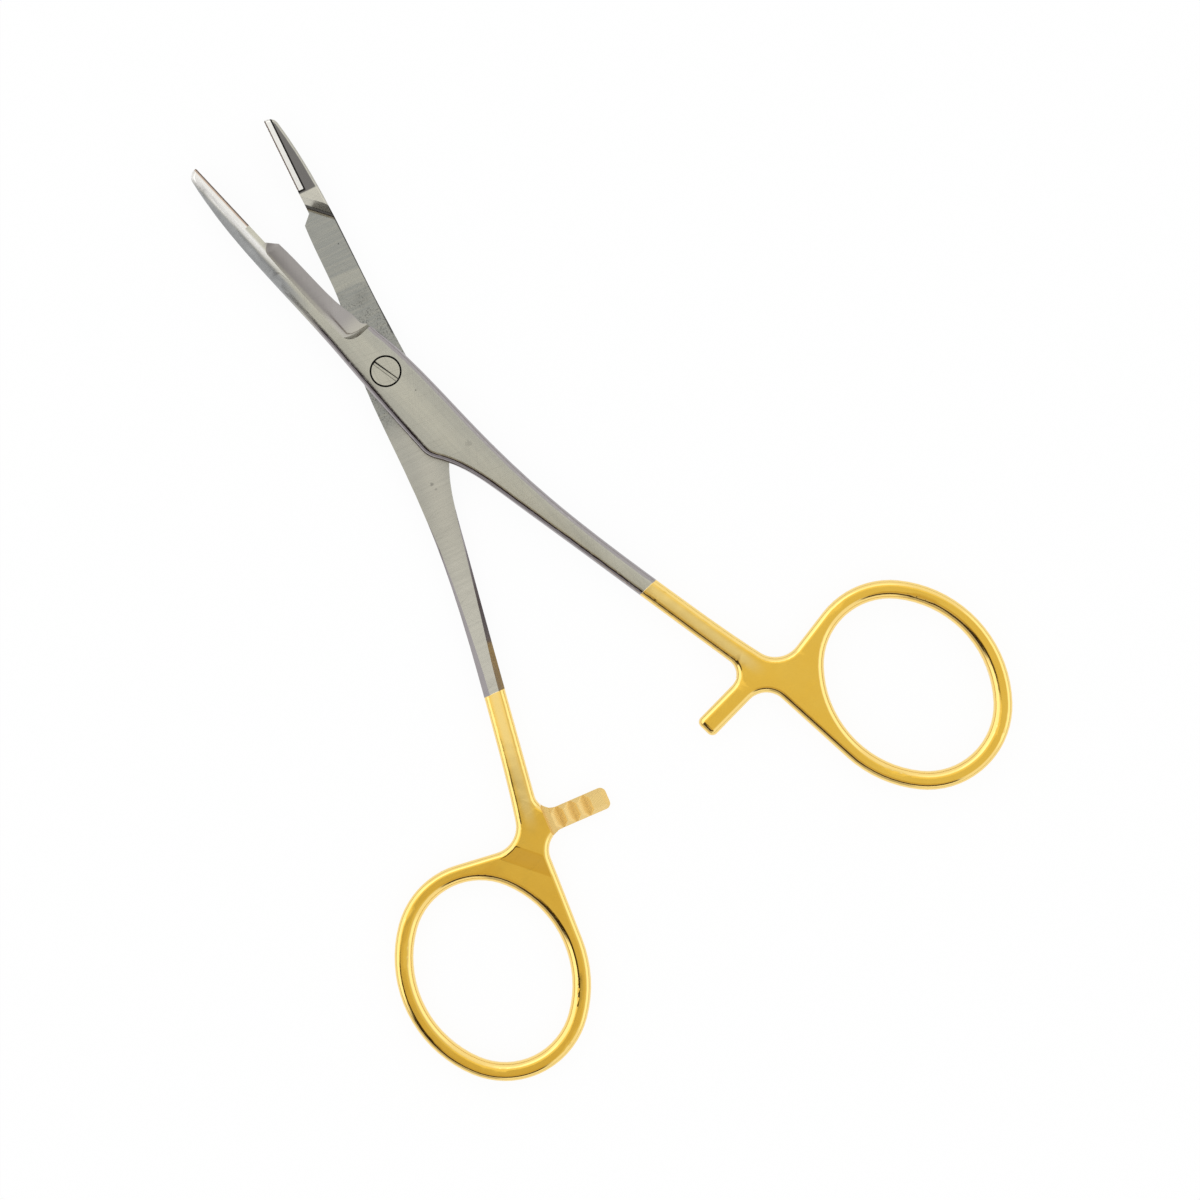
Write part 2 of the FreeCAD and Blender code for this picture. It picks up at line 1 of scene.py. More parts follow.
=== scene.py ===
"""Look of a surgical needle holder: satin steel jaws and joint, gold-plated polished handles.

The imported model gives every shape. This script gives the arms smooth shading, makes the finishes,
and sets up a plain white studio with the camera looking straight down.
"""

import math

import bmesh
import bpy
from mathutils import Matrix, Vector

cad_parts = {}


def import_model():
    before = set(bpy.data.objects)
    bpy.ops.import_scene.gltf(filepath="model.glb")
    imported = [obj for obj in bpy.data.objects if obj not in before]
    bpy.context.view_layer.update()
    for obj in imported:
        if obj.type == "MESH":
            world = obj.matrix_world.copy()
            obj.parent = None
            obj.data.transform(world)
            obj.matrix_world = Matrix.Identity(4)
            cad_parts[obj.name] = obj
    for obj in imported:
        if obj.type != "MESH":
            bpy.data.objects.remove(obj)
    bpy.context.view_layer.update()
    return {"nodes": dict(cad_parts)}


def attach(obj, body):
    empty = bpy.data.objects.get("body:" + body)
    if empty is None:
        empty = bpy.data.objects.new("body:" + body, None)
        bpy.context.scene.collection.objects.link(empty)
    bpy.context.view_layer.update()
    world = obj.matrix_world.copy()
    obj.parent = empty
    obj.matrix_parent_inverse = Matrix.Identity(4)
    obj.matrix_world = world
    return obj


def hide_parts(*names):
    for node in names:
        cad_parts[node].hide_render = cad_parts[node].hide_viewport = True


MM = 0.001
QUARTER_TURN = math.radians(90.0)

# The arms as stored, each turned half the opening from +Y
OPENING = math.radians(17.0)
LAP_HEIGHT = 2.42 * MM
SCREW_RADIUS = 2.15 * MM
SLOT_ANGLE = math.radians(-71.0)
SLOT_HALF = 0.31 * MM
SLOT_FLOOR = 4.29 * MM

# Places on an arm in its own directions: +Y to its jaw, its blade on +X, heights from the joint.
# Three values are a band's lowest and highest and the soft width outside them. Two are where a
# finish starts and where it is full.
PLATE_LINE = -48.1 * MM                     # the handles are plated from here back
PLATE_WANDER = 0.16 * MM                    # how far the plating's edge strays
PLATE_EDGE = 0.08 * MM
NECK_END = (-69.0 * MM, -64.0 * MM)
BAR_ROOT = (7.75 * MM, 7.65 * MM)           # the milled ratchet bar starts here, across the arm
BAR_HEIGHTS = (0.02 * MM, 0.95 * MM, 0.02 * MM)
SHANK_START = -13.0 * MM                    # the middle of the arm leans to +X from here back
SHANK_LEAN = 0.18
SHANK_SIDES = (0.3 * MM, 2.8 * MM)
# the painted highlight down the middle of the plated shank
MIDDLE_HIGHLIGHT_SPAN = (1.3 * MM, 0.2 * MM)
INNER_SIDE = (0.4 * MM, 0.1 * MM)
SEAT_HEIGHT = (0.5 * MM, 0.6 * MM)          # the screw's seat is above this
SEAT_REACH = (SCREW_RADIUS + 0.15 * MM, SCREW_RADIUS + 0.12 * MM)
LAP_HEIGHTS = (-0.05 * MM, 0.06 * MM, 0.03 * MM)
LAP_END = (-10.0 * MM, -5.0 * MM)
LAP_PALE_RING = (13.6 * MM, 15.2 * MM, 0.5 * MM)       # a lighter ring about the pivot
LAP_SPECKLED = (18.0 * MM, 8.0 * MM)
JAW_START = (9.0 * MM, 15.0 * MM)
JAW_HIGHLIGHT_LINE = -1.15 * MM                      # a painted highlight along the brightest line of the jaw's round outer side
JAW_HIGHLIGHT_WIDTH = (0.6 * MM, 0.15 * MM)
JAW_HIGHLIGHT_START = (17.0 * MM, 27.0 * MM)
# Painted cool shade on the back of the jaw's outer side, across and along the arm
JAW_BACK = (-1.3 * MM, -1.9 * MM)
JAW_BACK_START = (12.0 * MM, 20.0 * MM)
BEVEL_SPAN = (6.3 * MM, 25.19 * MM, 0.02 * MM)
BEVEL_SIDE = (-1.9 * MM, -1.6 * MM)
BEVEL_FOOT = (0.03 * MM, 0.06 * MM)
BEVEL_RIDGE = (1.5 * MM, 2.1 * MM)
BEVEL_HEEL = (10.0 * MM, 7.0 * MM)
STEP_SPAN = (21.0 * MM, 28.0 * MM, 0.2 * MM)        # the step between the blade and the jaw
# the step's foot is darkened by painted shade
STEP_FOOT = (-0.38 * MM, -0.08 * MM, 0.07 * MM)
STEP_SLOPE = (-1.95 * MM, -0.5 * MM, 0.2 * MM)
DULL_LEAN = 0.27                            # the jaw's dull inner side starts on a slant
DULL_START = (27.3 * MM, 27.5 * MM)
DULL_HEIGHT = (-0.3 * MM, -0.5 * MM)
INSERT_BACK = -0.9 * MM                     # where the hard metal meets the jaw, across the arm
SEAM = (INSERT_BACK - 0.28 * MM, INSERT_BACK - 0.2 * MM)
SEAM_START = (28.2 * MM, 28.4 * MM)
BACK_SLOPE = 0.012                          # the blade's back edge leans across the arm by this much
BACK_SHADOW_LINE = -3.24 * MM                      # a painted shadow line along that edge, carried back to the pivot
BACK_SHADOW_SOFT = 0.05 * MM
BACK_SPAN = (5.0 * MM, 24.0 * MM, 1.0 * MM)
SOLDER_LINE = (-0.36 * MM, -0.26 * MM, 0.06 * MM)
HATCH_START = (-0.25 * MM, -0.2 * MM)

# Places on the screw's head, with its slot along X
RING_WIDTH = 0.07 * MM
# The rim and the slot are darkened by painted shade and painted shadow
SCREW_RIM = (SCREW_RADIUS - 0.14 * MM, SCREW_RADIUS - 0.11 * MM)
SLOT_SHADOW_HEIGHT = (SLOT_FLOOR + 0.3 * MM, SLOT_FLOOR + 0.05 * MM)
DARK_LINE = 0.09 * MM                       # the side of the slot's painted shadow line towards its middle
DARK_LINE_TAPER = 0.03
DARK_LINE_EDGE = (-0.03 * MM, 0.02 * MM)
DARK_LINE_END = (0.28 * MM, 0.22 * MM)      # its side towards the wall
FAINT_LINE = (0.12 * MM - SLOT_HALF, 0.06 * MM - SLOT_HALF)

# Camera: the picture is square, with the pivot at this place from its top left corner
PICTURE_WIDTH = 1200.0
PIVOT_SEEN = (386.35, 372.0)
PICTURE_SCALE = 6.99 / MM        # at the height of the lap joint
VIEW_TURN = math.radians(-34.58)
CAMERA_HEIGHT = 0.7
SENSOR = 36.0

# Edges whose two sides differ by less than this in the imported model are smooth
CREASE = math.radians(20.0)
WELD = 0.0005 * MM

# The part of a noise that counts: where an effect starts and where it is full
NOISE_SPAN = (0.3, 0.7)
LINE_SPAN = (0.35, 0.75)
SCORE_SPAN = (0.35, 0.7)
SPECK_SPAN = (0.5, 0.62)
PATCH_SPAN = (0.36, 0.6)

# How often each noise changes along a line
WANDER_SCALE = 0.9 / MM
SPECK_SCALE = 4.0 / MM
PATCH_SCALE = 0.45 / MM
RIPPLE_SCALE = 0.3 / MM


# Node helpers

def node(tree, kind, at=(0, 0), **settings):
    """A new node at a column and a row of the node editor, with its settings."""
    made = tree.nodes.new(kind)
    made.location = (at[0] * 200, at[1] * 200)
    for name, value in settings.items():
        setattr(made, name, value)
    return made


def feed(tree, target, name, source):
    """Set an input socket from a value, or link it to an output socket."""
    socket = target.inputs[name]
    if isinstance(source, bpy.types.NodeSocket):
        tree.links.new(source, socket)
    else:
        socket.default_value = source


def maths(tree, operation, first, second=0.0, at=(0, 0), clamp=False):
    """One operation on two numbers."""
    made = node(tree, "ShaderNodeMath", at, operation=operation, use_clamp=clamp)
    feed(tree, made, 0, first)
    feed(tree, made, 1, second)
    return made.outputs[0]


def line(tree, value, slope, start, at=(0, 0)):
    """A number that grows from the start by the slope times the value."""
    made = node(tree, "ShaderNodeMath", at, operation="MULTIPLY_ADD")
    feed(tree, made, 0, value)
    feed(tree, made, 1, slope)
    feed(tree, made, 2, start)
    return made.outputs[0]


def product(tree, first, *others, at=(0, 0)):
    """The given masks multiplied together."""
    for number, other in enumerate(others):
        first = maths(tree, "MULTIPLY", first, other, (at[0] + number, at[1]))
    return first


def vectors(tree, operation, first, second=(0, 0, 0), at=(0, 0), output=0):
    """One operation on two vectors."""
    made = node(tree, "ShaderNodeVectorMath", at, operation=operation)
    feed(tree, made, 0, first)
    feed(tree, made, 1, second)
    return made.outputs[output]


def axes(tree, place, at=(0, 0)):
    """The three numbers of a place or a direction."""
    made = node(tree, "ShaderNodeSeparateXYZ", at)
    feed(tree, made, 0, place)
    return made.outputs


def step(tree, value, low, high, at=(0, 0), out=(0.0, 1.0)):
    """A smooth change from one value to another as the input goes from low to high."""
    made = node(tree, "ShaderNodeMapRange", at, interpolation_type="SMOOTHSTEP")
    feed(tree, made, "Value", value)
    feed(tree, made, "From Min", low)
    feed(tree, made, "From Max", high)
    feed(tree, made, "To Min", out[0])
    feed(tree, made, "To Max", out[1])
    return made.outputs["Result"]


def band(tree, value, low, high, soft, at=(0, 0)):
    """1 between two values, falling smoothly to 0 over the soft width outside them."""
    rise = step(tree, value, low - soft, low, at)
    fall = step(tree, value, high + soft, high, (at[0], at[1] - 1))
    return maths(tree, "MULTIPLY", rise, fall, (at[0] + 1, at[1]))


def blend(tree, share, first, second, at=(0, 0)):
    """A colour that goes from the first to the second as the share goes from 0 to 1."""
    made = node(tree, "ShaderNodeMix", at, data_type="RGBA", blend_type="MIX")
    feed(tree, made, "Factor", share)
    feed(tree, made, 6, first)
    feed(tree, made, 7, second)
    return made.outputs[2]


def between(tree, share, first, second, at=(0, 0)):
    """A number that goes from the first to the second as the share goes from 0 to 1."""
    made = node(tree, "ShaderNodeMix", at, data_type="FLOAT")
    feed(tree, made, "Factor", share)
    feed(tree, made, 2, first)
    feed(tree, made, 3, second)
    return made.outputs[0]


def noise(tree, place, scale, at=(0, 0), detail=2.0, roughness=0.5):
    """Smooth random numbers over a place, most of them between 0.3 and 0.7."""
    made = node(tree, "ShaderNodeTexNoise", at)
    feed(tree, made, "Vector", place)
    feed(tree, made, "Scale", scale)
    feed(tree, made, "Detail", detail)
    feed(tree, made, "Roughness", roughness)
    return made.outputs["Fac"]


def turned(tree, place, angle, at=(0, 0)):
    """A place turned about the upright axis."""
    made = node(tree, "ShaderNodeMapping", at)
    feed(tree, made, "Vector", place)
    feed(tree, made, "Rotation", (0.0, 0.0, angle))
    return made.outputs[0]


def rest_of(tree, mask, at=(0, 0)):
    """1 where the mask is 0, and 0 where it is 1."""
    return maths(tree, "SUBTRACT", 1.0, mask, at)


def pivot_distance(tree, place, at=(0, 0)):
    """How far a place lies from the pivot's axis."""
    flat_place = vectors(tree, "MULTIPLY", place, (1.0, 1.0, 0.0), at)
    return vectors(tree, "LENGTH", flat_place, at=(at[0] + 1, at[1]), output="Value")


def shank_offset(tree, x, y, at=(0, 0)):
    """How far a place lies to either side of the middle of the arm, which leans along the shank."""
    back = maths(tree, "SUBTRACT", SHANK_START, y, at, clamp=True)
    middle = maths(tree, "MULTIPLY", back, SHANK_LEAN, (at[0] + 1, at[1]))
    aside = maths(tree, "SUBTRACT", x, middle, (at[0] + 2, at[1]))
    return maths(tree, "ABSOLUTE", aside, at=(at[0] + 3, at[1]))


def new_group(name, inputs, outputs):
    """An empty shader group with named sockets: each input is (name, kind, default)."""
    tree = bpy.data.node_groups.new(name, "ShaderNodeTree")
    for label, kind, default in inputs:
        socket = tree.interface.new_socket(label, in_out="INPUT", socket_type=kind)
        if default is not None:
            socket.default_value = default
    for label, kind in outputs:
        tree.interface.new_socket(label, in_out="OUTPUT", socket_type=kind)
    return tree, node(tree, "NodeGroupInput", (-4, 0)), node(tree, "NodeGroupOutput", (5, 0))


def use_group(tree, group, at=(0, 0), **values):
    """The outputs of a shader group fed with the given values, "_" standing for a space."""
    made = node(tree, "ShaderNodeGroup", at, node_tree=group)
    for label, value in values.items():
        feed(tree, made, label.replace("_", " "), value)
    return made.outputs


FLOAT = "NodeSocketFloat"
VECTOR = "NodeSocketVector"


# Finishing effects that several materials share

SCRATCH_ANGLES = (math.radians(24.0), math.radians(-52.0))

# How upright a face's normal stands, from where it starts to count as level, or as steep
LEVEL_NORMAL = (0.94, 0.995)
STEEP_NORMAL = (0.6, 0.45)


def brush_group():
    """Fine grinding lines along the X of the given place, as a height and a tone."""
    tree, given, out = new_group(
        "grinding lines",
        [("Place", VECTOR, None), ("Line Width", FLOAT, 0.06 * MM), ("Line Length", FLOAT, 4 * MM)],
        [("Height", FLOAT), ("Tone", FLOAT)],
    )
    width = given.outputs["Line Width"]
    length = given.outputs["Line Length"]
    across, along, depth = axes(tree, given.outputs["Place"], (-3, 0))[:3]
    stretched = node(tree, "ShaderNodeCombineXYZ", (-1, 0))
    feed(tree, stretched, "X", maths(tree, "DIVIDE", across, length, (-2, 1)))
    feed(tree, stretched, "Y", maths(tree, "DIVIDE", along, width, (-2, 0)))
    feed(tree, stretched, "Z", maths(tree, "DIVIDE", depth, width, (-2, -1)))
    fine = noise(tree, stretched.outputs[0], 1.0, (0, 0), detail=3.0, roughness=0.65)
    broad = vectors(tree, "MULTIPLY", stretched.outputs[0], (0.35, 0.15, 0.15), (0, -1))
    feed(tree, out, "Height", fine)
    feed(tree, out, "Tone", noise(tree, broad, 1.0, (1, -1), detail=3.0, roughness=0.6))
    return tree


def spot_group():
    """A soft round spot about a centre: 1 inside, 0 outside, with a ragged rim."""
    tree, given, out = new_group(
        "spot",
        [("Place", VECTOR, None), ("Centre", VECTOR, None), ("Radius", FLOAT, 0.2 * MM),
         ("Ragged", FLOAT, 0.4)],
        [("Mask", FLOAT)],
    )
    place = given.outputs["Place"]
    reach = vectors(tree, "DISTANCE", place, given.outputs["Centre"], (-3, 0), "Value")
    share = maths(tree, "DIVIDE", reach, given.outputs["Radius"], (-2, 0))
    rough = noise(tree, place, SPECK_SCALE, (-2, -1), detail=3.0)
    centred = maths(tree, "SUBTRACT", rough, 0.5, (-1, -1))
    moved = maths(tree, "MULTIPLY", centred, given.outputs["Ragged"], (0, -1))
    total = maths(tree, "ADD", share, moved, (1, 0))
    feed(tree, out, "Mask", step(tree, total, 1.0, 0.45, (2, 0)))
    return tree


def grain_group():
    """A satin surface seen close: a fine even grain and slow clouds of tone."""
    tree, given, out = new_group(
        "satin grain",
        [("Place", VECTOR, None), ("Grain Size", FLOAT, 0.05 * MM), ("Cloud Size", FLOAT, 5 * MM)],
        [("Grain", FLOAT), ("Clouds", FLOAT)],
    )
    place = given.outputs["Place"]
    fine = maths(tree, "DIVIDE", 1.0, given.outputs["Grain Size"], (-3, 1))
    broad = maths(tree, "DIVIDE", 1.0, given.outputs["Cloud Size"], (-3, -1))
    feed(tree, out, "Grain", noise(tree, place, fine, (0, 1), detail=2.0, roughness=0.6))
    feed(tree, out, "Clouds", noise(tree, place, broad, (0, -1), detail=3.0))
    return tree


def scratch_group():
    """Scattered hairline scratches that run two ways over a surface."""
    tree, given, out = new_group(
        "hairline scratches",
        [("Place", VECTOR, None), ("Width", FLOAT, 0.03 * MM), ("Length", FLOAT, 3 * MM),
         ("Rarity", FLOAT, 0.68)],
        [("Mask", FLOAT)],
    )
    width = given.outputs["Width"]
    length = given.outputs["Length"]
    rarity = given.outputs["Rarity"]
    masks = []
    for number, angle in enumerate(SCRATCH_ANGLES):
        row = 2 * number
        place = turned(tree, given.outputs["Place"], angle, (-3, row))
        along, across, depth = axes(tree, place, (-2, row))[:3]
        stretched = node(tree, "ShaderNodeCombineXYZ", (0, row))
        feed(tree, stretched, "X", maths(tree, "DIVIDE", along, length, (-1, row)))
        feed(tree, stretched, "Y", maths(tree, "DIVIDE", across, width, (-1, row + 1)))
        feed(tree, stretched, "Z", maths(tree, "DIVIDE", depth, length, (-1, row - 1)))
        lines = noise(tree, stretched.outputs[0], 0.4, (1, row), detail=0.0)
        top = maths(tree, "ADD", rarity, 0.05, (1, row + 1))
        masks.append(step(tree, lines, rarity, top, (2, row)))
    feed(tree, out, "Mask", maths(tree, "MAXIMUM", masks[0], masks[1], (3, 0)))
    return tree


def level_group():
    """How level a face lies: the ground flats against the buffed roundings and the steep walls."""
    tree, given, out = new_group(
        "level faces", [("Normal", VECTOR, None)], [("Level", FLOAT), ("Steep", FLOAT)],
    )
    height = axes(tree, given.outputs["Normal"], (-2, 0))["Z"]
    upright = maths(tree, "ABSOLUTE", height, at=(-1, 0))
    feed(tree, out, "Level", step(tree, upright, *LEVEL_NORMAL, (1, 1)))
    feed(tree, out, "Steep", step(tree, upright, *STEEP_NORMAL, (1, -1)))
    return tree


# Finishes

def new_material(name):
    """An empty material with its shader joined to its output."""
    material = bpy.data.materials.new(name)
    material.use_nodes = True
    tree = material.node_tree
    tree.nodes.clear()
    shader = node(tree, "ShaderNodeBsdfPrincipled", (12, 0))
    output = node(tree, "ShaderNodeOutputMaterial", (14, 0))
    tree.links.new(shader.outputs[0], output.inputs["Surface"])
    return material, tree, shader


def own_place(tree, lower):
    """Object coordinates as the arm is drawn: +Y to its jaw, its blade on +X, heights from the joint.

    The lower arm is the upper one turned over, so its place is turned over too.
    """
    coordinates = node(tree, "ShaderNodeTexCoord", (-9, 0))
    mapping = node(tree, "ShaderNodeMapping", (-8, 0))
    feed(tree, mapping, "Vector", coordinates.outputs["Object"])
    feed(tree, mapping, "Rotation", (0.0, 0.0, -OPENING / 2))
    feed(tree, mapping, "Scale", (-1.0, 1.0, -1.0) if lower else (1.0, 1.0, 1.0))
    feed(tree, mapping, "Location", (0.0, 0.0, LAP_HEIGHT if lower else -LAP_HEIGHT))
    return mapping.outputs[0]


def bump(tree, height, distance, strength):
    """A normal that follows a fine relief."""
    made = node(tree, "ShaderNodeBump", (10, -3))
    feed(tree, made, "Height", height)
    feed(tree, made, "Distance", distance)
    feed(tree, made, "Strength", strength)
    return made.outputs[0]


# Depths of the relief, in millimetres
LINE_DEPTH = 0.0002
RIPPLE_DEPTH = 0.03
SCRATCH_DEPTH = 0.0002

# Relief of the screw's rings and of the hard metal's grain: its depth and how strongly it shows
RING_RELIEF = (0.003 * MM, 0.4)
CARBIDE_RELIEF = (0.004 * MM, 0.3)

# How far each effect goes over to its own tone
SIDES_SHARE = 0.32
LINE_SHARE = 0.22
JAW_BACK_SHADE_SHARE = 0.8
SCORE_SHARE = 0.35
SPECK_SHARE = 0.75
FAR_SPECKS = 0.12                           # what is left of the specks far from the pivot
SPARSE_SPECKS = 0.3                         # and between the patches where they are dense
PALE_RING_SHARE = 0.3
BEVEL_HIGHLIGHT_SHARE = 0.5
FOOT_SHADE_SHARE = 0.85
SCRATCH_SHARE = 0.12
SCREW_SCRATCH_SHARE = 0.15
RING_SHARE = 0.15
FAINT_SHARE = 0.7
MIDDLE_HIGHLIGHT_SHARE = 0.8
ROUNDED_HIGHLIGHT_SHARE = 0.75
SOLDER_SHARE = 0.7

# Roughness of each finish: smoothest and roughest place
SATIN_ROUGH = (0.24, 0.31)
BUFFED_ROUGH = (0.09, 0.13)
PLATE_ROUGH = (0.07, 0.12)
TURNED_ROUGH = (0.26, 0.36)
CARBIDE_ROUGH = (0.28, 0.42)
CARBIDE_GRAIN = 0.03 * MM
CARBIDE_CLOUD = 1.5 * MM
BEVEL_ROUGH = 0.45
MILLED_ROUGH = 0.26
SCRATCH_ROUGH = 0.08

# The plating's clear gloss, and how metallic its matt milled faces are
COAT_WEIGHT = 0.3
COAT_ROUGH = 0.08
COAT_IOR = 1.6
MILLED_METAL = 0.45

STEEL_WARM = (0.62, 0.60, 0.50, 1.0)
STEEL_GREY = (0.53, 0.515, 0.44, 1.0)
STEEL_INNER = (0.58, 0.56, 0.485, 1.0)
# painted highlight on the jaw's round outer side
STEEL_HIGHLIGHT = (0.86, 0.85, 0.83, 1.0)
# painted cool shade on the back of the jaw
STEEL_COOL_SHADE = (0.30, 0.31, 0.33, 1.0)
# painted dark reflection on the roundings
ROUNDING_REFLECTION_TONE = (0.36, 0.335, 0.34, 1.0)
LAP_TONE = (0.345, 0.35, 0.325, 1.0)
BEVEL_TONE = (0.36, 0.34, 0.33, 1.0)
JAW_DARK = (0.17, 0.162, 0.155, 1.0)
# real stains and scratches, and painted shade at the step's foot and along the back edge
STAIN_AND_SHADE = (0.10, 0.10, 0.095, 1.0)
# the dark seam by the insert, and painted shade round the screw's head and in its slot
SEAM_AND_SHADE_DARK = (0.018, 0.017, 0.016, 1.0)
SOLDER = (0.50, 0.30, 0.17, 1.0)
GOLD = (0.99, 0.63, 0.09, 1.0)
GOLD_DEEP = (0.96, 0.57, 0.055, 1.0)
# painted highlight on the gold's roundings and down the middle of the shank
GOLD_HIGHLIGHT = (0.95, 0.72, 0.27, 1.0)
GOLD_MILLED = (0.88, 0.63, 0.23, 1.0)
CARBIDE = (0.86, 0.85, 0.82, 1.0)
CARBIDE_DARK = (0.74, 0.73, 0.70, 1.0)
HATCH_TONE = (0.16, 0.12, 0.095, 1.0)


def arm_material(name, lower, groups, marks):
    """Satin steel that changes to polished gold plate behind the plating line."""
    material, tree, shader = new_material(name)
    place = own_place(tree, lower)
    x, y, z = axes(tree, place, (-7, 3))[:3]
    geometry = node(tree, "ShaderNodeNewGeometry", (-8, -4))
    faces = use_group(tree, groups["level"], (-7, -4), Normal=geometry.outputs["Normal"])
    satin = use_group(tree, groups["grain"], (-6, 2), Place=place)
    across = use_group(tree, groups["brush"], (-6, 0), Place=place)
    sideways = turned(tree, place, QUARTER_TURN, (-7, -1))
    lengthwise = use_group(tree, groups["brush"], (-6, -1), Place=sideways)
    scratches = use_group(tree, groups["scratch"], (-6, -2), Place=place)["Mask"]
    radius = pivot_distance(tree, place, (-6, 6))
    inner = step(tree, z, *INNER_SIDE, (-5, 5))
    jaw = step(tree, y, *JAW_START, (-5, 4))
    plated = plating_edge(tree, place, y)
    milled = product(tree, band(tree, z, *BAR_HEIGHTS, (-5, -6)),
                     step(tree, x, *BAR_ROOT, (-5, -8)), plated, at=(-4, -7))

    steel = steel_tone(tree, (x, y), satin, across, lengthwise, inner)
    # Painted dark reflection: the roundings outside the jaw are coloured a darker pinkish grey; their
    # buffed gloss is the roughness set below
    rounding_reflection = product(tree, rest_of(tree, faces["Level"], (-3, 6)), rest_of(tree, jaw, (-3, 5)),
                          at=(-2, 6))
    steel = blend(tree, rounding_reflection, steel, ROUNDING_REFLECTION_TONE, (-1, 6))
    steel = lap_tone(tree, place, (radius, y, z), faces, across, steel)
    steel, bevel = bevel_tone(tree, (x, y, z), faces, steel)
    steel = jaw_tone(tree, (x, y, z), faces, inner, steel)
    steel = worn_tone(tree, place, (radius, z), groups["spot"], marks, scratches, steel)
    gold = gold_tone(tree, (x, y), satin, faces)
    gold = blend(tree, milled, gold, GOLD_MILLED, (1, 1))
    feed(tree, shader, "Base Color", blend(tree, plated, steel, gold, (10, 2)))

    satin_share = maths(tree, "MAXIMUM", faces["Level"], jaw, (-1, 0))
    ground = step(tree, across["Tone"], *NOISE_SPAN, (-2, 0), out=SATIN_ROUGH)
    ground = between(tree, bevel, ground, BEVEL_ROUGH, (-1, 1))
    buffed = step(tree, satin["Clouds"], *NOISE_SPAN, (-2, -1), out=BUFFED_ROUGH)
    steel_rough = between(tree, satin_share, buffed, ground, (0, 0))
    gold_rough = step(tree, satin["Clouds"], *NOISE_SPAN, (-2, -2), out=PLATE_ROUGH)
    gold_rough = between(tree, milled, gold_rough, MILLED_ROUGH, (0, -2))
    scratched = maths(tree, "MULTIPLY", scratches, SCRATCH_ROUGH, (1, -3))
    gold_rough = maths(tree, "ADD", gold_rough, scratched, (2, -2))
    feed(tree, shader, "Roughness", between(tree, plated, steel_rough, gold_rough, (10, 0)))
    feed(tree, shader, "Metallic", step(tree, milled, 0.0, 1.0, (10, -2), out=(1.0, MILLED_METAL)))
    feed(tree, shader, "Coat Weight", maths(tree, "MULTIPLY", plated, COAT_WEIGHT, (10, -1)))
    feed(tree, shader, "Coat Roughness", COAT_ROUGH)
    feed(tree, shader, "Coat IOR", COAT_IOR)

    bare = product(tree, rest_of(tree, plated, (2, -4)), satin_share, at=(3, -4))
    lines = between(tree, inner, lengthwise["Height"], across["Height"], (2, -5))
    lines = product(tree, lines, bare, rest_of(tree, jaw, (2, -3)), LINE_DEPTH, at=(4, -5))
    waves = noise(tree, place, RIPPLE_SCALE, (2, -6), detail=1.0)
    ripples = product(tree, waves, plated, RIPPLE_DEPTH, at=(4, -6))
    scored = maths(tree, "MULTIPLY", scratches, -SCRATCH_DEPTH, (4, -7))
    total = maths(tree, "ADD", maths(tree, "ADD", lines, ripples, (6, -5)), scored, (7, -5))
    feed(tree, shader, "Normal", bump(tree, total, MM, 1.0))
    return material


def steel_tone(tree, across_and_along, satin, across, lengthwise, inner):
    """Ground steel: warm grey, lighter along the middle of the shank, with a painted highlight along the
    jaw's round outer side and painted cool shade on its back.
    """
    x, y = across_and_along
    outer = rest_of(tree, inner, (1, 7))
    outside = blend(tree, satin["Clouds"], STEEL_WARM, STEEL_GREY, (-3, 3))
    steel = blend(tree, inner, outside, STEEL_INNER, (-2, 3))
    offset = shank_offset(tree, x, y, (-4, 4))
    sides = step(tree, offset, *SHANK_SIDES, (0, 4), out=(0.0, SIDES_SHARE))
    steel = blend(tree, sides, steel, LAP_TONE, (-1, 3))
    lines = between(tree, inner, lengthwise["Tone"], across["Tone"], (-3, 2))
    lines = step(tree, lines, *LINE_SPAN, (-2, 2), out=(0.0, LINE_SHARE))
    steel = blend(tree, lines, steel, LAP_TONE, (0, 3))
    # Painted shade: the back of the jaw's outer side is coloured cool grey
    back = step(tree, x, *JAW_BACK, (1, 8), out=(0.0, JAW_BACK_SHADE_SHARE))
    back = product(tree, back, step(tree, y, *JAW_BACK_START, (1, 9)), outer, at=(2, 8))
    steel = blend(tree, back, steel, STEEL_COOL_SHADE, (1, 3))
    # Painted highlight: a bright line along the ridge of the jaw's round outer side
    from_highlight = maths(tree, "SUBTRACT", x, JAW_HIGHLIGHT_LINE, (-1, 5))
    ridge_highlight = step(tree, maths(tree, "ABSOLUTE", from_highlight, at=(0, 5)), *JAW_HIGHLIGHT_WIDTH, (1, 5))
    ridge_highlight = product(tree, ridge_highlight, step(tree, y, *JAW_HIGHLIGHT_START, (1, 6)), outer, at=(2, 5))
    return blend(tree, ridge_highlight, steel, STEEL_HIGHLIGHT, (2, 3))


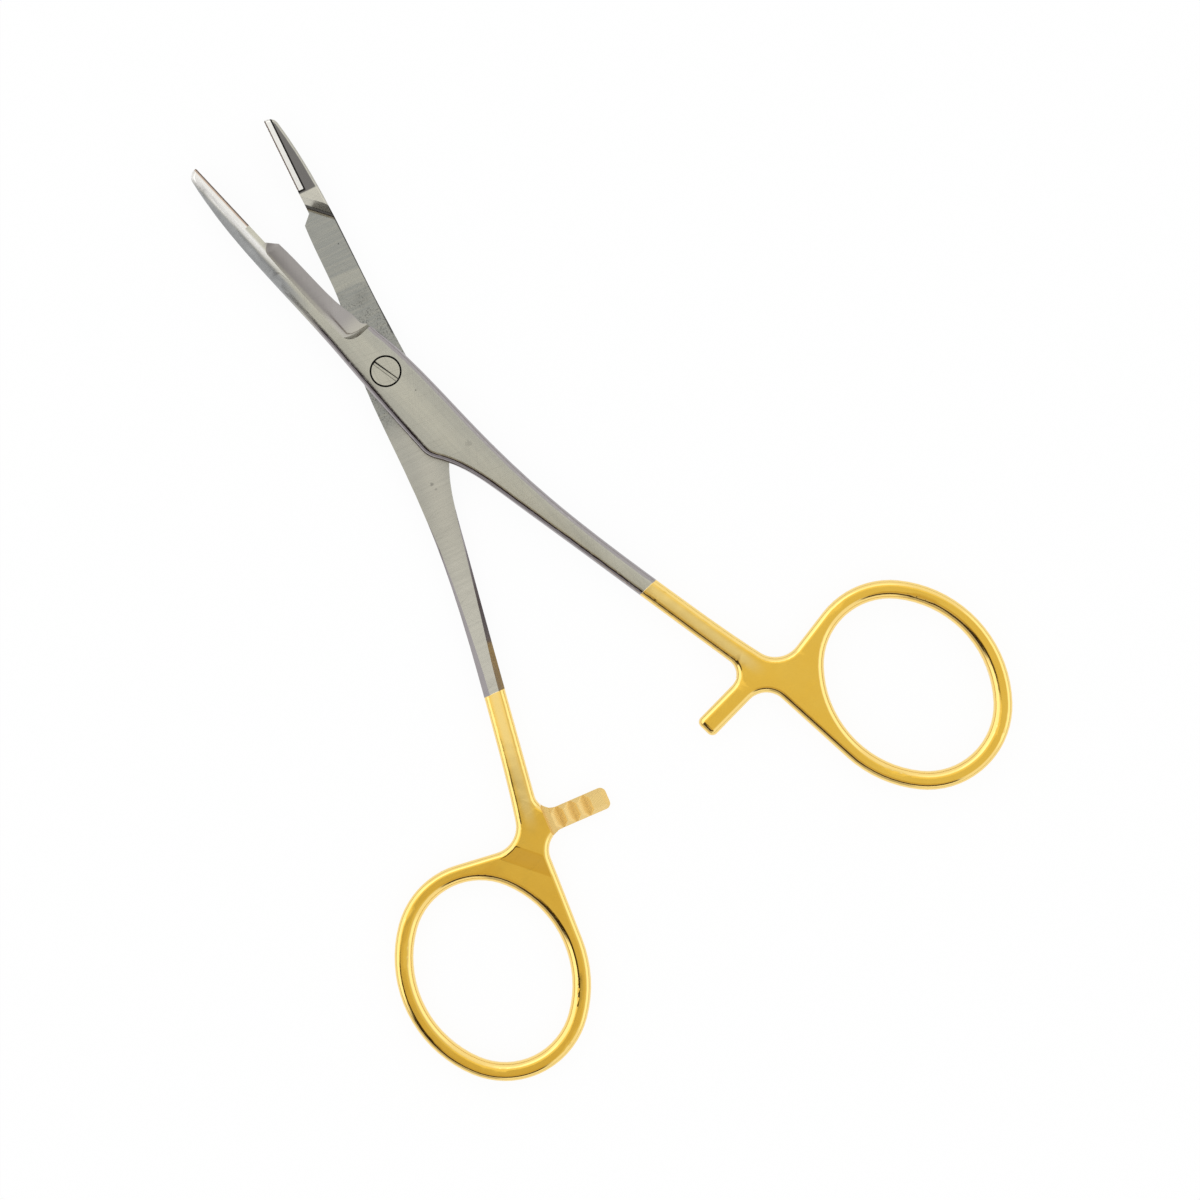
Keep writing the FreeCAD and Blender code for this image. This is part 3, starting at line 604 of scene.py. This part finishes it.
def lap_tone(tree, place, measures, faces, across, steel):
    """The rubbing faces of the joint: greyer, scored by turning, and speckled near the pivot."""
    radius, y, z = measures
    lap = product(tree, band(tree, z, *LAP_HEIGHTS, (-5, 7)),
                  step(tree, y, *LAP_END, (-4, 8)), faces["Level"], at=(-3, 7))
    scores = step(tree, across["Tone"], *SCORE_SPAN, (-2, 8), out=(0.0, SCORE_SHARE))
    face = blend(tree, scores, LAP_TONE, STEEL_GREY, (-1, 8))
    dots = noise(tree, place, SPECK_SCALE, (-2, 9), detail=4.0, roughness=0.75)
    patches = noise(tree, place, PATCH_SCALE, (-2, 10), detail=3.0)
    near = step(tree, radius, *LAP_SPECKLED, (-1, 11), out=(FAR_SPECKS, 1.0))
    patchy = step(tree, patches, *PATCH_SPAN, (-1, 10), out=(SPARSE_SPECKS, 1.0))
    specks = product(tree, step(tree, dots, *SPECK_SPAN, (-1, 9)), near, patchy, SPECK_SHARE, at=(0, 10))
    face = blend(tree, specks, face, STAIN_AND_SHADE, (3, 9))
    pale_ring = band(tree, radius, *LAP_PALE_RING, (0, 8))
    face = blend(tree, maths(tree, "MULTIPLY", pale_ring, PALE_RING_SHARE, (2, 8)), face, STEEL_WARM, (4, 9))
    return blend(tree, lap, steel, face, (5, 8))


def bevel_tone(tree, axes_of_place, faces, steel):
    """The blade's ground bevel, with painted highlights at its ridge and at its heel, and the mask of
    where it is.
    """
    x, y, z = axes_of_place
    bevel = product(tree, band(tree, y, *BEVEL_SPAN, (-4, 13)),
                    step(tree, x, *BEVEL_SIDE, (-4, 14)), step(tree, z, *BEVEL_FOOT, (-4, 15)),
                    rest_of(tree, faces["Level"], (-4, 12)), at=(-2, 13))
    # Painted highlights on the bevel near its ridge and near its heel
    ridge_highlight = step(tree, z, *BEVEL_RIDGE, (-3, 11), out=(0.0, BEVEL_HIGHLIGHT_SHARE))
    heel_highlight = step(tree, y, *BEVEL_HEEL, (-3, 10), out=(0.0, BEVEL_HIGHLIGHT_SHARE))
    light = maths(tree, "MAXIMUM", ridge_highlight, heel_highlight, (-2, 11))
    ground = blend(tree, light, BEVEL_TONE, STEEL_WARM, (5, 12))
    return blend(tree, bevel, steel, ground, (6, 12)), bevel


def jaw_tone(tree, axes_of_place, faces, inner, steel):
    """The jaw's dull inner side, the step behind it with painted shade at its foot, the dark seam by the
    insert, and a painted shadow line along the back edge.
    """
    x, y, z = axes_of_place
    gentle = step(tree, faces["Steep"], 0.6, 0.4, (-2, 26))
    slant = maths(tree, "SUBTRACT", y, maths(tree, "MULTIPLY", x, DULL_LEAN, (-4, 16)), (-3, 16))
    dull = product(tree, step(tree, slant, *DULL_START, (-2, 16)), inner,
                   step(tree, z, *DULL_HEIGHT, (-2, 17)), faces["Level"], at=(-1, 16))
    steel = blend(tree, dull, steel, JAW_DARK, (7, 12))
    on_step = product(tree, band(tree, y, *STEP_SPAN, (-2, 24)), gentle, at=(-1, 24))
    slope = product(tree, band(tree, z, *STEP_SLOPE, (-2, 28)), on_step, at=(0, 28))
    steel = blend(tree, slope, steel, STEEL_INNER, (8, 13))
    # Painted shade in the concave foot of the step
    foot_shade = product(tree, band(tree, z, *STEP_FOOT, (-2, 22)), on_step, FOOT_SHADE_SHARE, at=(0, 22))
    steel = blend(tree, foot_shade, steel, STAIN_AND_SHADE, (8, 15))
    seam = product(tree, step(tree, x, *SEAM, (-2, 18)), step(tree, y, *SEAM_START, (-2, 19)), inner,
                   at=(-1, 18))
    steel = blend(tree, seam, steel, SEAM_AND_SHADE_DARK, (8, 12))
    # Painted shadow: a dark line along the back edge on the inner side
    edge = maths(tree, "SUBTRACT", x, maths(tree, "MULTIPLY", y, BACK_SLOPE, (-2, 20)), (-1, 20))
    back_shadow = product(tree, step(tree, edge, BACK_SHADOW_LINE + BACK_SHADOW_SOFT, BACK_SHADOW_LINE, (0, 20)), inner,
                      band(tree, y, *BACK_SPAN, (0, 21)), at=(1, 20))
    return blend(tree, back_shadow, steel, STAIN_AND_SHADE, (9, 12))


def worn_tone(tree, place, measures, spot_effect, marks, scratches, steel):
    """Spots of stain, painted shade in the gap round the screw's head, and hairline scratches."""
    radius, z = measures
    for number, (centre, size, ragged, weight) in enumerate(marks):
        row = 6 + number
        spot = use_group(
            tree, spot_effect, (4, row), Place=place, Centre=centre, Radius=size, Ragged=ragged,
        )["Mask"]
        share = maths(tree, "MULTIPLY", spot, weight, (5, row))
        steel = blend(tree, share, steel, STAIN_AND_SHADE, (6, row))
    # Painted shade in the gap round the screw's head
    seat_gap_shade = product(tree, step(tree, radius, *SEAT_REACH, (4, 4)), step(tree, z, *SEAT_HEIGHT, (4, 5)),
                   at=(5, 5))
    steel = blend(tree, seat_gap_shade, steel, SEAM_AND_SHADE_DARK, (7, 4))
    scratched = maths(tree, "MULTIPLY", scratches, SCRATCH_SHARE, (7, 3))
    return blend(tree, scratched, steel, STAIN_AND_SHADE, (8, 4))


def gold_tone(tree, across_and_along, satin, faces):
    """Gold plate: deeper in slow clouds, with painted highlights on the roundings and along the middle
    of the shank.
    """
    x, y = across_and_along
    gold = blend(tree, satin["Clouds"], GOLD, GOLD_DEEP, (0, 1))
    offset = shank_offset(tree, x, y, (-4, 1))
    # Painted highlight down the middle of the shank to the neck, and on the roundings
    centre = step(tree, offset, *MIDDLE_HIGHLIGHT_SPAN, (0, 2), out=(0.0, MIDDLE_HIGHLIGHT_SHARE))
    centre = maths(tree, "MULTIPLY", centre, step(tree, y, *NECK_END, (0, 3)), (1, 2))
    rounded_highlight = step(tree, faces["Level"], 1.0, 0.2, (0, 4), out=(0.0, ROUNDED_HIGHLIGHT_SHARE))
    return blend(tree, maths(tree, "MAXIMUM", centre, rounded_highlight, (2, 3)), gold, GOLD_HIGHLIGHT, (3, 2))


def plating_edge(tree, place, y):
    """1 on the plated handle, with a slightly uneven edge across the shank."""
    wander = noise(tree, place, WANDER_SCALE, (-5, -2))
    edge = line(tree, wander, PLATE_WANDER, PLATE_LINE, (-4, -2))
    return step(tree, y, edge, maths(tree, "SUBTRACT", edge, PLATE_EDGE, (-3, -3)), (-2, -3))


def screw_material(groups):
    """Steel turned in a lathe: rings about the pivot, with painted shade round the rim and painted
    shadow in the slot.
    """
    material, tree, shader = new_material("turned screw steel")
    coordinates = node(tree, "ShaderNodeTexCoord", (-9, 0))
    place = turned(tree, coordinates.outputs["Object"], -SLOT_ANGLE, (-8, 0))
    radius = pivot_distance(tree, place, (-7, -1))
    turning = node(tree, "ShaderNodeTexNoise", (-5, -1), noise_dimensions="1D")
    feed(tree, turning, "W", maths(tree, "DIVIDE", radius, RING_WIDTH, (-6, -2)))
    feed(tree, turning, "Scale", 1.0)
    rings = turning.outputs["Fac"]
    satin = use_group(tree, groups["grain"], (-5, 2), Place=place)
    scratches = use_group(tree, groups["scratch"], (-5, 4), Place=place)["Mask"]
    tone = blend(tree, satin["Clouds"], STEEL_WARM, STEEL_GREY, (-3, 2))
    turned_lines = step(tree, rings, *LINE_SPAN, (-4, 1), out=(0.0, RING_SHARE))
    tone = blend(tree, turned_lines, tone, LAP_TONE, (-2, 2))
    scratched = maths(tree, "MULTIPLY", scratches, SCREW_SCRATCH_SHARE, (-3, 4))
    tone = blend(tree, scratched, tone, STAIN_AND_SHADE, (-1, 2))
    # Painted shade round the rim and painted shadow in the slot
    rim = step(tree, radius, *SCREW_RIM, (-3, 7))
    gap_and_slot_shade = maths(tree, "MAXIMUM", slot_shadows(tree, place), rim, (-1, 6))
    feed(tree, shader, "Base Color", blend(tree, gap_and_slot_shade, tone, SEAM_AND_SHADE_DARK, (0, 2)))
    feed(tree, shader, "Roughness", step(tree, rings, *NOISE_SPAN, (0, 0), out=TURNED_ROUGH))
    feed(tree, shader, "Metallic", 1.0)
    feed(tree, shader, "Normal", bump(tree, rings, *RING_RELIEF))
    return material


def slot_shadows(tree, place):
    """Painted shadow in the slot: a dark line that tapers along one wall, and a faint one by the other.
    """
    x, y, z = axes(tree, place, (-7, 0))[:3]
    deep = step(tree, z, *SLOT_SHADOW_HEIGHT, (-4, 5))
    taper = line(tree, x, DARK_LINE_TAPER, DARK_LINE, (-6, 6))
    past_taper = maths(tree, "SUBTRACT", y, taper, (-5, 6))
    dark = product(tree, step(tree, past_taper, *DARK_LINE_EDGE, (-4, 6)),
                   step(tree, y, *DARK_LINE_END, (-4, 8)), at=(-3, 8))
    faint = step(tree, y, *FAINT_LINE, (-4, 7), out=(0.0, FAINT_SHARE))
    return product(tree, maths(tree, "MAXIMUM", dark, faint, (-3, 6)), deep, at=(-2, 6))


def insert_material(name, lower, groups):
    """Ground hard metal with a dry fine grain, stained brown in its hatched gripping face."""
    material, tree, shader = new_material(name)
    place = own_place(tree, lower)
    x = axes(tree, place, (-7, 0))[0]
    satin = use_group(
        tree, groups["grain"], (-5, 2), Place=place, Grain_Size=CARBIDE_GRAIN, Cloud_Size=CARBIDE_CLOUD,
    )
    tone = blend(tree, satin["Clouds"], CARBIDE, CARBIDE_DARK, (-2, 2))
    solder = band(tree, x, *SOLDER_LINE, (-3, 4))
    solder = maths(tree, "MULTIPLY", solder, 0.0 if lower else SOLDER_SHARE, (-1, 4))
    tone = blend(tree, solder, tone, SOLDER, (0, 2))
    tone = blend(tree, step(tree, x, *HATCH_START, (-3, 6)), tone, HATCH_TONE, (1, 2))
    feed(tree, shader, "Base Color", tone)
    feed(tree, shader, "Roughness", step(tree, satin["Grain"], *NOISE_SPAN, (-2, 0), out=CARBIDE_ROUGH))
    feed(tree, shader, "Metallic", 1.0)
    feed(tree, shader, "Normal", bump(tree, satin["Grain"], *CARBIDE_RELIEF))
    return material


# Shading of the arms

def smooth_copy(frame, source, body):
    """A copy of a packed arm whose tangent faces shade as one surface."""
    packed = frame["nodes"][source]
    mesh = packed.data.copy()
    stored = mesh.attributes.new("packed_normal", "FLOAT_VECTOR", "CORNER")
    for corner, normal in zip(stored.data, mesh.corner_normals):
        corner.vector = normal.vector
    bm = bmesh.new()
    bm.from_mesh(mesh)
    bmesh.ops.remove_doubles(bm, verts=bm.verts, dist=WELD)
    layer = bm.loops.layers.float_vector["packed_normal"]
    limit = math.cos(CREASE)
    for face in bm.faces:
        face.smooth = True
    for edge in bm.edges:
        edge.smooth = len(edge.link_faces) == 2 and all(
            same_side(edge, vertex, layer) > limit for vertex in edge.verts
        )
    bm.loops.layers.float_vector.remove(layer)
    bm.to_mesh(mesh)
    bm.free()
    piece = bpy.data.objects.new(source + "_finished", mesh)
    bpy.context.scene.collection.objects.link(piece)
    weighted = piece.modifiers.new("weighted", "WEIGHTED_NORMAL")
    weighted.mode = "FACE_AREA"
    weighted.keep_sharp = True
    seen = piece.evaluated_get(bpy.context.evaluated_depsgraph_get())
    finished = bpy.data.meshes.new_from_object(seen)
    piece.modifiers.clear()
    piece.data = finished
    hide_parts(source)
    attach(piece, body)
    return piece


def same_side(edge, vertex, layer):
    """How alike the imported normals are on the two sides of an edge, at one of its ends."""
    first, second = (
        next(loop[layer] for loop in face.loops if loop.vert == vertex) for face in edge.link_faces
    )
    return Vector(first).normalized().dot(Vector(second).normalized())


def dress(piece, material):
    """Gives a piece one material in place of its own."""
    piece.data.materials.clear()
    piece.data.materials.append(material)


# Studio

def window_group():
    """A soft-edged window of the studio tent: a span of directions round and a span of heights."""
    tree, given, out = new_group(
        "window of the tent",
        [("Direction", VECTOR, None), ("Towards", VECTOR, None), ("Edge", FLOAT, 0.8),
         ("Core", FLOAT, 0.9), ("Low", FLOAT, 0.2), ("High", FLOAT, 0.8), ("Soft", FLOAT, 0.05)],
        [("Mask", FLOAT)],
    )
    direction = given.outputs["Direction"]
    low = given.outputs["Low"]
    high = given.outputs["High"]
    soft = given.outputs["Soft"]
    height = axes(tree, direction, (-3, -1))["Z"]
    level = vectors(tree, "MULTIPLY", direction, (1.0, 1.0, 0.0), (-3, 0))
    level = vectors(tree, "NORMALIZE", level, at=(-2, 0))
    toward = vectors(tree, "DOT_PRODUCT", level, given.outputs["Towards"], (-1, 0), "Value")
    span = step(tree, toward, given.outputs["Edge"], given.outputs["Core"], (0, 0))
    rise = step(tree, height, maths(tree, "SUBTRACT", low, soft, (-2, -2)), low, (0, -1))
    fall = step(tree, height, maths(tree, "ADD", high, soft, (-2, -3)), high, (0, -2))
    feed(tree, out, "Mask", product(tree, span, rise, fall, at=(2, 0)))
    return tree


WHITE = (1.0, 1.0, 1.0, 1.0)
TENT = (1.0, 0.995, 0.98, 1.0)
TENT_TOP = (0.745, 0.745, 0.735, 1.0)
BELT = (0.36, 0.32, 0.29, 1.0)
# Heights of a direction, 0 at the horizon and 1 overhead
TOP_START = (0.78, 0.92)
BELT_HEIGHTS = (0.03, 0.07, 0.06)
# Windows and dark gaps of the tent: direction in the picture, half the width, nearest and farthest
# angle from overhead, all in degrees, then the light. A later one covers an earlier one.
WINDOWS = (
    (128.0, 95.0, 6.0, 26.0, (0.95, 0.95, 0.94, 1.0)),
    (232.0, 38.0, 58.0, 88.0, (0.52, 0.50, 0.51, 1.0)),
    (218.0, 27.0, 14.0, 57.0, (0.03, 0.02, 0.018, 1.0)),
    (264.0, 38.0, 33.0, 52.0, (0.06, 0.038, 0.03, 1.0)),
    (264.0, 36.0, 12.0, 31.0, (0.60, 0.53, 0.38, 1.0)),
    (172.0, 42.0, 34.0, 74.0, (1.35, 1.35, 1.33, 1.0)),
    (8.0, 42.0, 42.0, 70.0, (1.30, 1.30, 1.28, 1.0)),
    (128.0, 58.0, 27.0, 50.0, (1.30, 1.29, 1.27, 1.0)),
)
WINDOW_SOFT = 0.04
WINDOW_CORE = 0.75                          # the share of a window's width at its full light


def studio_sky():
    """A white tent, darker overhead round the camera, with bright windows and dark gaps."""
    world = bpy.data.worlds.new("studio tent")
    bpy.context.scene.world = world
    world.use_nodes = True
    tree = world.node_tree
    tree.nodes.clear()
    coordinates = node(tree, "ShaderNodeTexCoord", (-6, 0))
    direction = turned(tree, coordinates.outputs["Generated"], -VIEW_TURN, (-5, 0))
    height = axes(tree, direction, (-4, 0))["Z"]
    sky = blend(tree, step(tree, height, *TOP_START, (-3, 0)), TENT, TENT_TOP, (-2, 0))
    sky = blend(tree, band(tree, height, *BELT_HEIGHTS, (-3, 1)), sky, BELT, (-1, 0))
    window = window_group()
    for number, (azimuth, half, top, bottom, light) in enumerate(WINDOWS):
        angle = math.radians(azimuth)
        mask = use_group(
            tree, window, (number, -2), Direction=direction,
            Towards=(math.cos(angle), math.sin(angle), 0.0),
            Edge=math.cos(math.radians(half)), Core=math.cos(math.radians(half * WINDOW_CORE)),
            Low=math.cos(math.radians(bottom)), High=math.cos(math.radians(top)), Soft=WINDOW_SOFT,
        )["Mask"]
        sky = blend(tree, mask, sky, light, (number, 0))
    path = node(tree, "ShaderNodeLightPath", (3, 2))
    camera_ray = path.outputs["Is Camera Ray"]
    plain = maths(tree, "MAXIMUM", camera_ray, path.outputs["Is Diffuse Ray"], (4, 2))
    light = node(tree, "ShaderNodeBackground", (5, 0))
    feed(tree, light, "Color", blend(tree, plain, sky, WHITE, (4, 0)))
    feed(tree, light, "Strength", 1.0)
    output = node(tree, "ShaderNodeOutputWorld", (6, 0))
    tree.links.new(light.outputs[0], output.inputs["Surface"])


# How much of the table's light is its own, where the camera or a reflection sees it
FLOOR_GLOW = 0.93
FLOOR_HALF = 1.5
FLOOR_TONE = (0.95, 0.95, 0.95, 1.0)


def floor():
    """A white table that keeps a faint shadow."""
    mesh = bpy.data.meshes.new("table")
    corners = [(x * FLOOR_HALF, y * FLOOR_HALF, 0) for x, y in ((-1, -1), (1, -1), (1, 1), (-1, 1))]
    mesh.from_pydata(corners, [], [(0, 1, 2, 3)])
    table = bpy.data.objects.new("table", mesh)
    bpy.context.scene.collection.objects.link(table)
    material = bpy.data.materials.new("white table")
    material.use_nodes = True
    tree = material.node_tree
    tree.nodes.clear()
    matt = node(tree, "ShaderNodeBsdfDiffuse", (0, 0))
    feed(tree, matt, "Color", FLOOR_TONE)
    glow = node(tree, "ShaderNodeEmission", (0, 1))
    feed(tree, glow, "Strength", 1.0)
    path = node(tree, "ShaderNodeLightPath", (-2, 2))
    camera_ray = path.outputs["Is Camera Ray"]
    seen = maths(tree, "MAXIMUM", camera_ray, path.outputs["Is Glossy Ray"], (-1, 2))
    mix = node(tree, "ShaderNodeMixShader", (1, 0))
    feed(tree, mix, "Fac", maths(tree, "MULTIPLY", seen, FLOOR_GLOW, (0, 2)))
    tree.links.new(matt.outputs[0], mix.inputs[1])
    tree.links.new(glow.outputs[0], mix.inputs[2])
    output = node(tree, "ShaderNodeOutputMaterial", (2, 0))
    tree.links.new(mix.outputs[0], output.inputs["Surface"])
    dress(table, material)


def lamp(name, azimuth, polar, reach, size, power):
    """A soft square lamp aimed at the middle of the picture, placed by its direction there."""
    turn = math.radians(azimuth) + VIEW_TURN
    lean = math.radians(polar)
    way = Vector((math.sin(lean) * math.cos(turn), math.sin(lean) * math.sin(turn), math.cos(lean)))
    data = bpy.data.lights.new(name, "AREA")
    data.size = size
    data.energy = power
    made = bpy.data.objects.new(name, data)
    made.location = view_centre() + way * reach
    made.rotation_euler = way.to_track_quat("Z", "Y").to_euler()
    bpy.context.scene.collection.objects.link(made)


def view_centre():
    """The point on the table at the middle of the picture."""
    half = PICTURE_WIDTH / 2
    offset = Vector((half - PIVOT_SEEN[0], PIVOT_SEEN[1] - half, 0.0)) / PICTURE_SCALE
    return Matrix.Rotation(VIEW_TURN, 3, "Z") @ offset


def camera():
    """A camera straight over the picture's middle, turned so that the picture is upright."""
    data = bpy.data.cameras.new("camera")
    data.sensor_width = SENSOR
    data.lens = SENSOR * (CAMERA_HEIGHT - LAP_HEIGHT) * PICTURE_SCALE / PICTURE_WIDTH
    made = bpy.data.objects.new("camera", data)
    made.location = view_centre() + Vector((0, 0, CAMERA_HEIGHT))
    made.rotation_euler = (0, 0, VIEW_TURN)
    bpy.context.scene.collection.objects.link(made)
    bpy.context.scene.camera = made


# Marks on the steel: centre in the arm's own directions, radius, raggedness, strength
UPPER_MARKS = (
    ((1.3 * MM, -4.9 * MM, LAP_HEIGHT), 0.13 * MM, 0.4, 0.9),
    ((1.6 * MM, -15.6 * MM, LAP_HEIGHT), 0.6 * MM, 1.4, 0.2),
)
LOWER_MARKS = (
    ((-1.9 * MM, 19.5 * MM, 0.02 * MM), 0.13 * MM, 0.4, 0.95),
    ((-1.4 * MM, 11.0 * MM, 0.02 * MM), 1.5 * MM, 1.6, 0.15),
    ((1.2 * MM, -17.3 * MM, 0.02 * MM), 0.35 * MM, 1.2, 0.45),
    ((1.0 * MM, -18.2 * MM, 0.02 * MM), 0.22 * MM, 1.0, 0.3),
)


def main():
    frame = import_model()
    groups = {
        "brush": brush_group(),
        "spot": spot_group(),
        "grain": grain_group(),
        "scratch": scratch_group(),
        "level": level_group(),
    }
    upper = smooth_copy(frame, "upper_arm", "upper_half")
    lower = smooth_copy(frame, "lower_arm", "lower_half")
    dress(upper, arm_material("upper arm steel and gold", False, groups, UPPER_MARKS))
    dress(lower, arm_material("lower arm steel and gold", True, groups, LOWER_MARKS))
    dress(frame["nodes"]["pivot_screw"], screw_material(groups))
    dress(frame["nodes"]["upper_jaw_insert"], insert_material("upper hard metal", False, groups))
    dress(frame["nodes"]["lower_jaw_insert"], insert_material("lower hard metal", True, groups))
    studio_sky()
    floor()
    lamp("key", azimuth=130.0, polar=38.0, reach=0.75, size=0.35, power=0.12)
    camera()
    bpy.context.scene.view_settings.view_transform = "Standard"


main()
